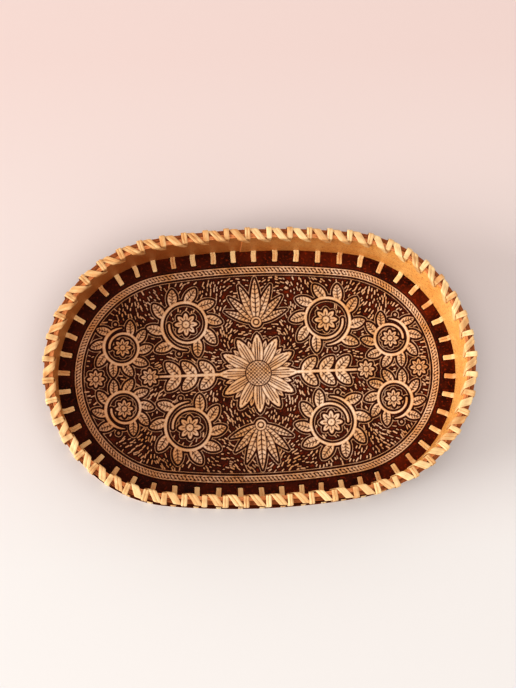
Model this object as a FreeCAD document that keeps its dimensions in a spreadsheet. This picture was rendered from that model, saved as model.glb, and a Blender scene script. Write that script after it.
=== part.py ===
import FreeCAD, Part
import math
import os

import Sketcher

# Open oval bread box of birch bark: two floor sheets, a wall of two bark strips, and split-root laces that
# bind the rim and tie the floor to the wall. Millimetres, +X along the long axis, +Z up, origin under the
# middle of the floor.

driving_sizes = {
    # the oval of the wall's inner face
    "half_length": 130.0,
    "half_width": 81.8,
    "side_radius": 476.0,  # of the two long, gently bowed sides
    # wall
    "wall_height": 38.6,  # floor to rim
    "inner_strip_thick": 2.6,
    "outer_strip_thick": 2.5,
    "strip_gap": 0.1,
    # floor
    "face_sheet_thick": 1.7,
    "under_sheet_thick": 1.7,
    "floor_overhang": 0.8,  # past the wall's outer face
    "notch_ledge": 0.1,  # what the overhang keeps in its notches, where the laces turn up
    # laces
    "lace_width": 4.0,
    "lace_thick": 0.65,
    "lace_gap": 0.1,
    "rim_pitch": 13.0,
    "rim_hole_drop": 6.5,  # rim down to the top of its holes
    "base_pitch": 13.7,
    "base_hole_rise": 2.0,  # floor up to the middle of the holes for the tabs
    "tab_step": 0.5,  # the level start of a tab, at the wall
    "tab_fall": 1.4,  # how far it then takes to slope down to the floor
    "floor_slot_inset": 6.8,  # wall to the near edge of the slot that the tab goes down
    "floor_slot_ease": 0.5,
    # main high places of the pressed floor, round which the ground is pressed down
    "relief_depth": 0.6,
    "relief_inset": 9.8,  # wall to the edge of the pressed ground
    "border_inset": 10.5,
    "border_width": 4.6,
    "rosette_radius": 26.0,
    "rosette_heart_radius": 8.2,
    "petal_half_width": 3.6,
    "stem_half_width": 1.1,
    "scroll_radius": 17.0,
    "scroll_leaf_length": 11.0,
    "end_scroll_radius": 13.0,
    "end_scroll_leaf_length": 9.5,
    "palmette_length": 29.0,
    "palmette_heart_radius": 3.5,
    "sprig_leaf_length": 12.5,
    # joints in the strips, where one end lies over the other and both are pared to a wedge
    "inner_seam_offset": 9.0,  # left of the middle of the far side
    "seam_step": 0.55,
    "outer_seam_offset": 45.0,  # right of the middle of the far side
    "scarf_length": 30.0,
    "scarf_gap": 0.1,
    # how far the cutting shapes run past what they cut
    "cut_overrun": 3.0,
}

doc = FreeCAD.newDocument("bread_box")
sizes = doc.addObject("Spreadsheet::Sheet", "sizes")
for row, (alias, number) in enumerate(driving_sizes.items(), start=1):
    sizes.set(f"A{row}", alias)
    sizes.set(f"B{row}", str(number))
    sizes.setAlias(f"B{row}", alias)
doc.recompute()

# Stitch places: even spacing round the wall, plus the slow wander of hand-set holes. All are shares of the
# way round: a shift of the first hole, then a cosine and a sine share for one to four waves.
rim_shift_share = 0.0069
rim_wander_shares = ((-0.0043, -0.0015), (0.0028, -0.0014), (-0.0020, -0.0003), (-0.0004, 0.0005))
base_shift_share = 0.0134
base_wander_shares = ((-0.0016, 0.0015), (-0.0038, -0.0003), (0.0002, 0.0002), (0.0005, -0.0010))
# A slanted rim stitch: how much of the step from hole to hole its inner and outer legs take
slant_inner_share = 0.28
slant_outer_share = 0.28
# Across the rim, where one lace changes from lying on the bark to lying over its neighbour, or back
level_change_shares = (0.3, 0.7)
# A lace under the floor: the stretch of its slanting run that has its full width
full_width_shares = (0.2, 0.8)
# Round an edge of the bark, where a lace has its sections
bend_shares = (0.0, 0.5, 1.0)
rim_laces = 4
base_laces = 3
# The pressed design: places are shares of the half length and the half width of the oval
scroll_place_shares = (0.355, 0.415)
end_scroll_place_shares = (0.677, 0.245)
palmette_place_share = 0.415
sprig_shares = (0.225, 0.315, 0.395)  # where its pairs of leaves stand
sprig_flower_share = 0.545
end_flower_share = 0.815
leaf_belly_share = 0.45  # of a leaf's length, from its root to where it is widest
leaf_half_width_share = 0.27
scroll_close_share = 0.35  # how far a scroll draws in from its start to its end
scroll_flower_share = 0.42
palmette_side_share = 0.085  # how much shorter each leaf is than the one nearer the middle
palmette_half_width_share = 0.1
rosette_petals = 12
scroll_turns = 1.25
scroll_steps = 18
scroll_leaves = 9
palmette_side_leaves = 3
leaf_lean = 0.75  # radians, as the next two
palmette_spread = 0.4
sprig_lean = 0.8

floor_top = sizes.under_sheet_thick + sizes.face_sheet_thick
rim_top = floor_top + sizes.wall_height
outer_strip_start = sizes.inner_strip_thick + sizes.strip_gap
wall_thick = outer_strip_start + sizes.outer_strip_thick
lacing_line = wall_thick / 2
floor_edge = wall_thick + sizes.floor_overhang
notch_start = wall_thick + sizes.notch_ledge
half_lace = sizes.lace_width / 2
near_level = sizes.lace_gap + sizes.lace_thick / 2  # bark to the middle of a lace that lies on it
far_level = near_level + sizes.lace_thick + sizes.lace_gap  # the same for a lace over another
slot_width = sizes.lace_width + 2 * sizes.lace_gap
groove_depth = sizes.lace_thick + 2 * sizes.lace_gap
rim_hole_top = rim_top - sizes.rim_hole_drop
rim_hole_bottom = rim_hole_top - far_level - near_level
base_hole = floor_top + sizes.base_hole_rise
slot_near = -sizes.floor_slot_inset
slot_far = slot_near - groove_depth - sizes.floor_slot_ease

# The oval is four arcs, the first one split at the +X end, and every offset of it keeps their centres.
end_radius = (2 * sizes.side_radius * sizes.half_width - sizes.half_length**2 - sizes.half_width**2) / (
    2 * (sizes.side_radius - sizes.half_length)
)
end_centre = sizes.half_length - end_radius
side_centre = sizes.side_radius - sizes.half_width
joint_angle = math.atan2(side_centre, end_centre)
side_sweep = math.pi - 2 * joint_angle
right_arc = (FreeCAD.Vector(end_centre, 0, 0), end_radius, 0.0, joint_angle)
far_arc = (FreeCAD.Vector(0, -side_centre, 0), sizes.side_radius, joint_angle, side_sweep)
left_arc = (FreeCAD.Vector(-end_centre, 0, 0), end_radius, math.pi - joint_angle, 2 * joint_angle)
near_arc = (FreeCAD.Vector(0, side_centre, 0), sizes.side_radius, math.pi + joint_angle, side_sweep)
last_arc = (FreeCAD.Vector(end_centre, 0, 0), end_radius, -joint_angle, joint_angle)
round_trip = (right_arc, far_arc, left_arc, near_arc, last_arc)
perimeter = sum((radius + lacing_line) * sweep for _, radius, _, sweep in round_trip)
inner_seam = perimeter / 4 + sizes.inner_seam_offset
outer_seam = perimeter / 4 - sizes.outer_seam_offset


def outward_angle(run):
    """Which way the wall faces at a run round the lacing line from the +X end, with its arc."""
    run = run % perimeter
    for centre, radius, start, sweep in round_trip:
        length = (radius + lacing_line) * sweep
        if run <= length:
            break
        run -= length
    return start + run / (radius + lacing_line), centre, radius


def spot(run, offset, height):
    """The point at a run round the wall, an offset out from its inner face and a height."""
    angle, centre, radius = outward_angle(run)
    out = FreeCAD.Vector(math.cos(angle), math.sin(angle), 0) * (radius + offset)
    return centre + out + FreeCAD.Vector(0, 0, height)


def stitch_runs(pitch, shift_share, wander_shares):
    count = round(perimeter / pitch)
    runs = []
    for number in range(count):
        turn = math.tau * number / count
        share = number / count + shift_share
        for waves, (cosine_share, sine_share) in enumerate(wander_shares, start=1):
            share += cosine_share * math.cos(waves * turn) + sine_share * math.sin(waves * turn)
        runs.append(share * perimeter)
    return runs


def seam_rise(run, reach):
    """How far the lapped end of the inner strip stands in from the oval, within reach of a run."""
    past = inner_seam - run
    if past + reach < 0 or past - reach > sizes.scarf_length:
        return 0.0
    return sizes.seam_step * (1 - max(past - reach, 0.0) / sizes.scarf_length)


rim_runs = stitch_runs(sizes.rim_pitch, rim_shift_share, rim_wander_shares)
base_runs = stitch_runs(sizes.base_pitch, base_shift_share, base_wander_shares)

# Blanks of the four bark pieces, sketched and padded

end_text = (
    "(2 * sizes.side_radius * sizes.half_width - sizes.half_length ^ 2 - sizes.half_width ^ 2)"
    " / (2 * (sizes.side_radius - sizes.half_length))"
)


def draw_oval(sketch, offset_names):
    """One closed oval of four arcs, parallel to the wall's inner face at the sum of the named sizes."""
    offset = sum(getattr(sizes, name) for name in offset_names)
    offset_text = "".join(f" + sizes.{name}" for name in offset_names)
    first_arc = (right_arc[0], end_radius, -joint_angle, 2 * joint_angle)
    ids = []
    for centre, radius, start, sweep in (first_arc, far_arc, left_arc, near_arc):
        circle = Part.Circle(centre, FreeCAD.Vector(0, 0, 1), radius + offset)
        ids.append(sketch.addGeometry(Part.ArcOfCircle(circle, start, start + sweep), False))
    right, far, left, near = ids
    for first, second in ((right, far), (far, left), (left, near), (near, right)):
        sketch.addConstraint(Sketcher.Constraint("Tangent", first, 2, second, 1))
    for arc, axis in ((right, -1), (left, -1), (far, -2)):
        sketch.addConstraint(Sketcher.Constraint("PointOnObject", arc, 3, axis))
    sketch.addConstraint(Sketcher.Constraint("Equal", right, left))
    sketch.addConstraint(Sketcher.Constraint("Equal", far, near))
    centre_limit = Sketcher.Constraint("DistanceX", -1, 1, right, 3, end_centre)
    end_limit = Sketcher.Constraint("Radius", right, end_radius + offset)
    side_limit = Sketcher.Constraint("Radius", far, sizes.side_radius + offset)
    for constraint, text in (
        (centre_limit, f"sizes.half_length - {end_text}"),
        (end_limit, end_text + offset_text),
        (side_limit, "sizes.side_radius" + offset_text),
    ):
        index = sketch.addConstraint(constraint)
        sketch.setExpression(f"Constraints[{index}]", text)


def padded_body(name, ovals, thickness_text, base_text):
    body = doc.addObject("PartDesign::Body", name)
    sketch = body.newObject("Sketcher::SketchObject", name + "_outline")
    plane = next(item for item in body.Origin.OriginFeatures if item.Role == "XY_Plane")
    sketch.AttachmentSupport = (plane, [""])
    sketch.MapMode = "FlatFace"
    for offset_names in ovals:
        draw_oval(sketch, offset_names)
    pad = body.newObject("PartDesign::Pad", name + "_pad")
    pad.Profile = sketch
    pad.setExpression("Length", thickness_text)
    body.setExpression("Placement.Base.z", base_text)
    return body


wall_names = ["inner_strip_thick", "strip_gap", "outer_strip_thick"]
floor_outline = [wall_names + ["floor_overhang"]]
inner_outlines = [[], ["inner_strip_thick"]]
outer_outlines = [["inner_strip_thick", "strip_gap"], wall_names]
floor_text = "sizes.under_sheet_thick + sizes.face_sheet_thick"
under_blank = padded_body("under_sheet_blank", floor_outline, "sizes.under_sheet_thick", "0")
face_blank = padded_body(
    "face_sheet_blank", floor_outline, "sizes.face_sheet_thick", "sizes.under_sheet_thick"
)
inner_blank = padded_body("inner_strip_blank", inner_outlines, "sizes.wall_height", floor_text)
outer_blank = padded_body("outer_strip_blank", outer_outlines, "sizes.wall_height", floor_text)

# Holes, notches, grooves and the strips' own joints


def block(run, offsets, heights, width):
    """A box square to the wall at a run, between two offsets and two heights."""
    corner = FreeCAD.Vector(0, -width / 2, 0)
    box = Part.makeBox(offsets[1] - offsets[0], width, heights[1] - heights[0], corner)
    turn = FreeCAD.Rotation(FreeCAD.Vector(0, 0, 1), math.degrees(outward_angle(run)[0]))
    box.Placement = FreeCAD.Placement(spot(run, offsets[0], heights[0]), turn)
    return box


def bowed_prism(corners, heights):
    """An upright prism on four (run, offset) corners, two of whose sides are bowed as the wall is."""
    plan = [spot(run, offset, heights[0]) for run, offset in corners]
    sides = []
    for first, second in ((0, 1), (2, 3)):
        middle_run = (corners[first][0] + corners[second][0]) / 2
        middle_offset = (corners[first][1] + corners[second][1]) / 2
        middle = spot(middle_run, middle_offset, heights[0])
        sides.append(Part.Arc(plan[first], middle, plan[second]).toShape())
    ends = [Part.LineSegment(plan[1], plan[2]).toShape(), Part.LineSegment(plan[3], plan[0]).toShape()]
    outline = Part.Wire([sides[0], ends[0], sides[1], ends[1]])
    return Part.Face(outline).extrude(FreeCAD.Vector(0, 0, heights[1] - heights[0]))


def scarf_cut(seam, start_offset, stop_offset):
    """The thin slanting cut between the pared ends of a strip, from one of its faces to the other."""
    spare = sizes.cut_overrun
    rise = spare * (stop_offset - start_offset) / sizes.scarf_length
    half = sizes.scarf_gap / 2
    stop = seam - sizes.scarf_length
    corners = (
        (seam + spare, start_offset - rise - half),
        (stop - spare, stop_offset + rise - half),
        (stop - spare, stop_offset + rise + half),
        (seam + spare, start_offset - rise + half),
    )
    return bowed_prism(corners, (floor_top - spare, rim_top + spare))


def feature(name, shape):
    part = doc.addObject("Part::Feature", name)
    part.Shape = shape
    return part


def boolean(kind, name, base, tool):
    part = doc.addObject(kind, name)
    part.Base = base
    part.Tool = tool
    return part


lap_foot = sizes.inner_strip_thick / 2
lap_corners = (
    (inner_seam, -sizes.seam_step),
    (inner_seam - sizes.scarf_length, 0.0),
    (inner_seam - sizes.scarf_length, lap_foot),
    (inner_seam, lap_foot),
)
through_wall = (-sizes.cut_overrun, wall_thick + sizes.cut_overrun)
rim_hole_heights = (rim_hole_bottom, rim_hole_top)
base_hole_heights = (base_hole - near_level, base_hole + near_level)
wall_slots = [block(run, through_wall, rim_hole_heights, slot_width) for run in rim_runs]
wall_slots += [block(run, through_wall, base_hole_heights, slot_width) for run in base_runs]
wall_holes = feature("wall_holes", Part.Compound(wall_slots))

through_floor = (-sizes.cut_overrun, floor_top + sizes.cut_overrun)
notch_offsets = (notch_start, floor_edge + sizes.cut_overrun)
floor_slots = [block(run, (slot_far, slot_near), through_floor, slot_width) for run in base_runs]
floor_slots += [block(run, notch_offsets, through_floor, slot_width) for run in base_runs]
floor_holes = feature("floor_holes", Part.Compound(floor_slots))

# Pressed ground of the floor, with its main high places left standing

relief_heights = (floor_top - sizes.relief_depth, floor_top + sizes.cut_overrun)
form_heights = (relief_heights[0] - sizes.cut_overrun, relief_heights[1] + sizes.cut_overrun)


def direction(angle):
    return FreeCAD.Vector(math.cos(angle), math.sin(angle), 0)


def prism(outline, heights):
    outline.translate(FreeCAD.Vector(0, 0, heights[0]))
    return Part.Face(outline).extrude(FreeCAD.Vector(0, 0, heights[1] - heights[0]))


def oval_prism(offset, heights):
    edges = []
    for centre, radius, start, sweep in round_trip:
        circle = Part.Circle(centre, FreeCAD.Vector(0, 0, 1), radius + offset)
        edges.append(Part.ArcOfCircle(circle, start, start + sweep).toShape())
    return prism(Part.Wire(edges), heights)


def disc(centre, radius):
    return prism(Part.Wire(Part.Circle(centre, FreeCAD.Vector(0, 0, 1), radius).toShape()), form_heights)


def plate(plan):
    return prism(Part.makePolygon(plan + plan[:1]), form_heights)


def leaf(root, angle, length, half_width):
    """A leaf or petal, as four corners: its root, its two widest places and its tip."""
    belly = root + direction(angle) * length * leaf_belly_share
    side = direction(angle + math.pi / 2) * half_width
    return plate([root, belly + side, root + direction(angle) * length, belly - side])


def scroll(centre, radius, leaf_length, start, hand):
    """A stem that winds inwards, with leaves along its first turn and a flower inside."""

    def stem(share):
        angle = start + hand * math.tau * scroll_turns * share
        return angle, centre + direction(angle) * radius * (1 - scroll_close_share * share)

    outer = []
    inner = []
    for step in range(scroll_steps + 1):
        angle, place = stem(step / scroll_steps)
        outer.append(place + direction(angle) * sizes.stem_half_width)
        inner.append(place - direction(angle) * sizes.stem_half_width)
    forms = [plate(outer + inner[::-1]), disc(centre, radius * scroll_flower_share)]
    for number in range(scroll_leaves):
        angle, place = stem((number + 1) / (scroll_leaves + 1) / scroll_turns)
        lean = angle + hand * leaf_lean
        forms.append(leaf(place, lean, leaf_length, leaf_length * leaf_half_width_share))
    return forms


def quarter_scrolls(across, along):
    """The two scrolls of the quarter of the floor that the two signs name."""
    forms = []
    for shares, radius, leaf_length, hand, start in (
        (scroll_place_shares, sizes.scroll_radius, sizes.scroll_leaf_length, across * along, -across * along),
        (end_scroll_place_shares, sizes.end_scroll_radius, sizes.end_scroll_leaf_length, -across * along, along),
    ):
        place = FreeCAD.Vector(across * shares[0] * sizes.half_length, along * shares[1] * sizes.half_width, 0)
        turned = math.pi if across < 0 and shares is scroll_place_shares else 0.0
        forms += scroll(place, radius, leaf_length, start * math.pi / 2 + turned, hand)
    return forms


def palmette(along):
    root = FreeCAD.Vector(0, along * palmette_place_share * sizes.half_width, 0)
    forms = [disc(root, sizes.palmette_heart_radius)]
    for number in range(-palmette_side_leaves, palmette_side_leaves + 1):
        length = sizes.palmette_length * (1 - palmette_side_share * abs(number))
        angle = along * math.pi / 2 + number * palmette_spread
        forms.append(leaf(root, angle, length, length * palmette_half_width_share))
    return forms


def sprig(across):
    """The stem on the long axis, from the rosette to a small flower, with its pairs of leaves."""
    facing = 0.0 if across > 0 else math.pi
    flower_radius = sizes.end_scroll_radius * scroll_flower_share
    start = FreeCAD.Vector(across * sizes.rosette_radius / 2, 0, 0)  # well inside a petal
    stop = FreeCAD.Vector(across * sprig_flower_share * sizes.half_length, 0, 0)
    side = FreeCAD.Vector(0, sizes.stem_half_width, 0)
    forms = [plate([start - side, stop - side, stop + side, start + side]), disc(stop, flower_radius)]
    forms.append(disc(FreeCAD.Vector(across * end_flower_share * sizes.half_length, 0, 0), flower_radius))
    for share in sprig_shares:
        for lean in (-sprig_lean, sprig_lean):
            root = FreeCAD.Vector(across * share * sizes.half_length, 0, 0)
            length = sizes.sprig_leaf_length
            forms.append(leaf(root, facing + lean, length, length * leaf_half_width_share))
    return forms


def raised_forms():
    middle = FreeCAD.Vector(0, 0, 0)
    forms = [disc(middle, sizes.rosette_heart_radius)]
    length = sizes.rosette_radius - sizes.rosette_heart_radius / 2
    for number in range(rosette_petals):
        angle = math.tau * number / rosette_petals
        root = middle + direction(angle) * sizes.rosette_heart_radius / 2
        forms.append(leaf(root, angle, length, sizes.petal_half_width))
    for sign in (-1, 1):
        forms += palmette(sign) + sprig(sign) + quarter_scrolls(sign, -1) + quarter_scrolls(sign, 1)
    border = oval_prism(-sizes.border_inset, form_heights)
    forms.append(border.cut(oval_prism(-sizes.border_inset - sizes.border_width, form_heights)))
    return forms


pressed_blank = oval_prism(-sizes.relief_inset, relief_heights)
pressed_ground = feature("pressed_ground", pressed_blank.cut(raised_forms()))

# Laces: ribbons with ruled faces between four-cornered sections. A section is told by its run, its offset
# and height, which way its outer side faces in the plane square to the wall, and half its width along it.

up = math.pi / 2
down = -math.pi / 2


def section(run, offset, height, facing, half_width):
    reach = sizes.lace_thick / 2
    corners = []
    for along, across in ((1, 1), (-1, 1), (-1, -1), (1, -1)):
        side = offset + across * reach * math.cos(facing)
        level = height + across * reach * math.sin(facing)
        corners.append(spot(run + along * half_width, side, level))
    return corners


def bend(corner, radius, turns, runs, half_width):
    """Sections round an edge of the bark, between two directions in degrees and two runs."""
    sections = []
    for share in bend_shares:
        turn = math.radians(turns[0] + (turns[1] - turns[0]) * share)
        run = runs[0] + (runs[1] - runs[0]) * share
        side = corner[0] + radius * math.cos(turn)
        level = corner[1] + radius * math.sin(turn)
        sections.append(section(run, side, level, turn, half_width))
    return sections


def ribbon(sections):
    """The closed solid through all the sections, with ruled faces from one to the next."""
    faces = []
    for before, after in zip(sections, sections[1:]):
        for first, second in ((0, 1), (1, 2), (2, 3), (3, 0)):
            edges = [Part.LineSegment(before[corner], after[corner]).toShape() for corner in (first, second)]
            faces.append(Part.makeRuledSurface(*edges))
    for corners in (sections[0], sections[-1]):
        faces.append(Part.Face(Part.makePolygon(corners + corners[:1])))
    solid = Part.Solid(Part.Shell(faces))
    if solid.Volume < 0:
        solid.reverse()
    return solid


def stitch_steps(runs):
    """Each hole with the next one round, whose run is never less than its own."""
    following = runs[1:] + [runs[0] + perimeter]
    return list(zip(runs, following))


def shared_out(steps, laces):
    """The steps that each lace takes, in order."""
    firsts = [round(len(steps) * lace / laces) for lace in range(laces + 1)]
    return [steps[firsts[lace] : firsts[lace + 1]] for lace in range(laces)]


level_change = [wall_thick * share for share in level_change_shares]


def straight_stitch(run):
    """In through a rim hole, up the inside, over the rim and down the outside over the slanted lace."""
    face = -seam_rise(run, half_lace)
    here = (run, run)
    return (
        bend((face, rim_hole_top), near_level, (-90, -180), here, half_lace)
        + bend((face, rim_top), near_level, (180, 90), here, half_lace)
        + [
            section(run, level_change[0], rim_top + near_level, up, half_lace),
            section(run, level_change[1], rim_top + far_level, up, half_lace),
        ]
        + bend((wall_thick, rim_top), far_level, (90, 0), here, half_lace)
        + bend((wall_thick, rim_hole_top), far_level, (0, -90), here, half_lace)
    )


def slanted_stitch(run, next_run):
    """In through the same hole, up the inside over the straight lace, slanting across the rim, and down
    the outside to the next hole."""
    step = next_run - run
    face = -seam_rise(run + step * slant_inner_share, sizes.lace_width)
    first_turn = far_level * math.pi / 2
    last_turn = near_level * math.pi / 2
    over = first_turn + wall_thick - face + last_turn
    wide = half_lace / math.cos(math.atan(step / (2 * sizes.rim_hole_drop + over)))

    def at(way):
        """The run at a way over the rim."""
        over_share = 1 - slant_inner_share - slant_outer_share
        return run + step * (slant_inner_share + over_share * way / over)

    changes = [at(first_turn + offset - face) for offset in level_change]
    hole_face = -seam_rise(run, half_lace)
    return (
        bend((hole_face, rim_hole_top), far_level, (-90, -180), (run, run), half_lace)
        + bend((face, rim_top), far_level, (180, 90), (at(0.0), at(first_turn)), wide)
        + [
            section(changes[0], level_change[0], rim_top + far_level, up, wide),
            section(changes[1], level_change[1], rim_top + near_level, up, wide),
        ]
        + bend((wall_thick, rim_top), near_level, (90, 0), (at(over - last_turn), at(over)), wide)
        + bend((wall_thick, rim_hole_top), near_level, (0, -90), (next_run, next_run), half_lace)
    )


def under_run(run, next_run, spare):
    """The left and right edges, in plan, of the straight slanting run under the floor from a floor slot to
    the next notch, with spare room round it."""
    start = spot(run, slot_near, 0)
    stop = spot(next_run, notch_start, 0)
    along = (stop - start).normalize()
    start -= along * spare
    stop += along * spare
    wide = half_lace / math.cos(math.atan((next_run - run) / (notch_start - slot_near)))
    edges = []
    for share in (0.0, *full_width_shares, 1.0):
        half_width = spare + (wide if share in full_width_shares else half_lace)
        angle = outward_angle(run + (next_run - run) * share)[0]
        sideways = FreeCAD.Vector(-math.sin(angle), math.cos(angle), 0) * half_width
        middle = start + (stop - start) * share
        edges.append((middle + sideways, middle - sideways))
    return edges


def under_sections(run, next_run):
    low = FreeCAD.Vector(0, 0, sizes.lace_gap)
    high = low + FreeCAD.Vector(0, 0, sizes.lace_thick)
    edges = under_run(run, next_run, 0.0)[1:3]
    return [[left + low, right + low, right + high, left + high] for left, right in edges]


def groove(run, next_run):
    edges = under_run(run, next_run, sizes.lace_gap)
    plan = [left for left, right in edges] + [right for left, right in reversed(edges)]
    outline = Part.makePolygon(plan + plan[:1])
    outline.translate(FreeCAD.Vector(0, 0, -sizes.cut_overrun))
    return Part.Face(outline).extrude(FreeCAD.Vector(0, 0, sizes.cut_overrun + groove_depth))


def base_stitch(run, next_run):
    """In through the wall, down to the floor, along it as the tab that shows, down through both sheets,
    out under them, and up round their edge to the next hole."""
    face = -seam_rise(run, half_lace)
    here = (run, run)
    there = (next_run, next_run)
    slope = math.atan2(base_hole - floor_top - near_level, sizes.tab_fall)
    brink = face - sizes.tab_step
    return (
        [
            section(run, face, base_hole, up, half_lace),
            section(run, brink, base_hole, up + slope / 2, half_lace),
            section(run, brink - sizes.tab_fall, floor_top + near_level, up + slope / 2, half_lace),
        ]
        + bend((slot_near, floor_top), near_level, (90, 180), here, half_lace)
        + bend((slot_near, groove_depth), near_level, (180, 270), here, half_lace)
        + under_sections(run, next_run)
        + bend((notch_start, groove_depth), near_level, (270, 360), there, half_lace)
        + bend((wall_thick, base_hole - near_level), near_level, (360, 450), there, half_lace)
    )


# A lace starts halfway through a hole, and ends there in the next lace's first hole.
laces = {}
rim_pass = rim_hole_top - near_level
start_offset = lacing_line - sizes.lace_gap / 2
stop_offset = lacing_line + sizes.lace_gap / 2
for number, steps in enumerate(shared_out(stitch_steps(rim_runs), rim_laces), start=1):
    sections = [section(steps[0][0], start_offset, rim_pass, down, half_lace)]
    for run, next_run in steps:
        sections += straight_stitch(run) + slanted_stitch(run, next_run)
    sections.append(section(steps[-1][1], stop_offset, rim_pass, down, half_lace))
    laces[f"rim_lace_{number}"] = ribbon(sections)
for number, steps in enumerate(shared_out(stitch_steps(base_runs), base_laces), start=1):
    sections = [section(steps[0][0], start_offset, base_hole, up, half_lace)]
    for run, next_run in steps:
        sections += base_stitch(run, next_run)
    sections.append(section(steps[-1][1], stop_offset, base_hole, up, half_lace))
    laces[f"base_lace_{number}"] = ribbon(sections)

# The finished pieces

lap = feature("inner_strip_lap", bowed_prism(lap_corners, (floor_top, rim_top)))
inner_scarf = feature("inner_strip_scarf", scarf_cut(inner_seam, 0.0, sizes.inner_strip_thick))
outer_scarf = feature("outer_strip_scarf", scarf_cut(outer_seam, wall_thick, outer_strip_start))
grooves = [groove(run, next_run) for run, next_run in stitch_steps(base_runs)]
floor_grooves = feature("floor_grooves", Part.Compound(grooves))

inner_lapped = boolean("Part::Fuse", "inner_strip_lapped", inner_blank, lap)
inner_open = boolean("Part::Cut", "inner_strip_open", inner_lapped, inner_scarf)
outer_open = boolean("Part::Cut", "outer_strip_open", outer_blank, outer_scarf)
under_slotted = boolean("Part::Cut", "under_sheet_slotted", under_blank, floor_holes)
face_slotted = boolean("Part::Cut", "face_sheet_slotted", face_blank, floor_holes)
pieces = [
    boolean("Part::Cut", "floor_under_sheet", under_slotted, floor_grooves),
    boolean("Part::Cut", "floor_face_sheet", face_slotted, pressed_ground),
    boolean("Part::Cut", "wall_inner_strip", inner_open, wall_holes),
    boolean("Part::Cut", "wall_outer_strip", outer_open, wall_holes),
]
pieces += [feature(name, shape) for name, shape in laces.items()]
doc.recompute()

for item in doc.Objects:
    if "Invalid" in item.State or "Error" in item.State:
        raise RuntimeError(f"{item.Name} could not be made: {item.State}")
os.makedirs("parts", exist_ok=True)
for piece in pieces:
    shape = piece.Shape
    if shape.isNull() or not shape.isValid():
        raise RuntimeError(f"{piece.Label} has no sound shape")
    shape.exportStep(f"parts/{piece.Label}.step")
    box = shape.BoundBox
    print(
        f"{piece.Label}: {len(shape.Solids)} solid, {len(shape.Faces)} faces, {shape.Volume:.1f} mm3,"
        f" x {box.XMin:.2f} to {box.XMax:.2f}, y {box.YMin:.2f} to {box.YMax:.2f},"
        f" z {box.ZMin:.2f} to {box.ZMax:.2f}"
    )
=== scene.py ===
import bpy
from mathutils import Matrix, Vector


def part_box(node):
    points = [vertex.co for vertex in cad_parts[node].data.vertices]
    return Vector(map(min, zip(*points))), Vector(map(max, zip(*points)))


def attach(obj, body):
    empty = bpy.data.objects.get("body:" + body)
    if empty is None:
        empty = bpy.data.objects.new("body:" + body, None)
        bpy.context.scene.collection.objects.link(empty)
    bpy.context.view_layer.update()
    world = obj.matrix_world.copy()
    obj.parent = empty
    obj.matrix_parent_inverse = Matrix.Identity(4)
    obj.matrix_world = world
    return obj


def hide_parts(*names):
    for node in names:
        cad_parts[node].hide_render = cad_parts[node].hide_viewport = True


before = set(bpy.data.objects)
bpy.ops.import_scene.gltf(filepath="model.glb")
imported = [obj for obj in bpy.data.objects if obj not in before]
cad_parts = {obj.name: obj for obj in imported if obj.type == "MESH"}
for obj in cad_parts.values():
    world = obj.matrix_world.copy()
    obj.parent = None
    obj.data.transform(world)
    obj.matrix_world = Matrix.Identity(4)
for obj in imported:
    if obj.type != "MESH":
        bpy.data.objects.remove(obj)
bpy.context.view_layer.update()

from math import atan, atan2, ceil, cos, pi, radians, sin, sqrt, tau

import bmesh
import bpy
import numpy as np
from mathutils import Matrix, Vector

# Bread box of birch bark. Sizes are in millimetres here, and turn into metres when a mesh is made.
mm = 0.001
scene = bpy.context.scene


def highCorner(node):
    return [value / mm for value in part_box(node)[1]]


wall = dict(
    innerThick=2.6, stripGap=0.1,
    sideRadius=476.0,  # the gently bowed sides
    seamOffset=9.0,  # left of the middle of the far side
    outerSeamOffset=45.0,  # right of it
    seamStep=0.55,
    scarfLength=30.0,
    scarfGap=0.1,
    hollow=0.22,  # how far the inner face dips in places
    hollowMost=0.3,  # share of the thickness
    outerHollow=0.6,  # the outer face's share of that
    hollowWave=9.0,
    layerThick=0.52,
    layerDrop=0.4,  # how far some layers end short of the rim
    layerWave=5.0,  # how long the short stretches are
    layerSpare=3.0,  # and how much longer in some layers
    edgeRound=0.12,
    edgePoints=11,
    edgeFoot=0.5,  # from the lowest layer to the faces' top level
    levels=(*np.linspace(9.0, 31.0, 9), 38.5, 40.6),  # beside those at the holes
    columnStep=1.0,
    columnClear=0.3,
    sharp=40,  # degrees
)
lace = dict(
    width=4.0, thick=0.65, gap=0.1,
    rimPitch=13.0, basePitch=13.7,
    rimHoleDrop=6.5, baseHoleRise=2.0,
    tabStep=0.5, tabFall=1.4,
    tabSettle=1.3,  # where it lies flat, in its falls
    slotInset=6.8, slotEase=0.5, ledge=0.1,
    bendRows=6,  # cross-sections in a bend
    straightRows=7,  # and over the rim or under the floor
    overSpan=(0.12, 0.88),  # where these lie, as shares of the way
    underSpan=(0.1, 0.9),
    crossing=(0.2, 0.6),  # start and length of the change of level
    rowStep=0.9,
    sideSlip=0.4,  # of a stitch along the rim
    thinnest=0.9,
    slantWider=1.3,  # a slanted stitch lies flatter
    uneven=((0.1, 2.6, 0), (0.1, 3.1, 5), (0.16, 4.3, 9)),  # left, right and crown: share, wave, seed
    grooves=(0.0, 0.0, 0.35, 0.6, 0.8),  # shares of a stitch's thickness
    toneScatter=0.618,
    fibreShift=40,  # from one lace to the next
    rimWarmth=(0.05, 1.0, 0.35, 0.0),  # how far each lace is mixed towards the tan tone
    baseWarmth=(0.0, 0.2, 0.0),
    dice=11,
    sharp=60,
)
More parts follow.
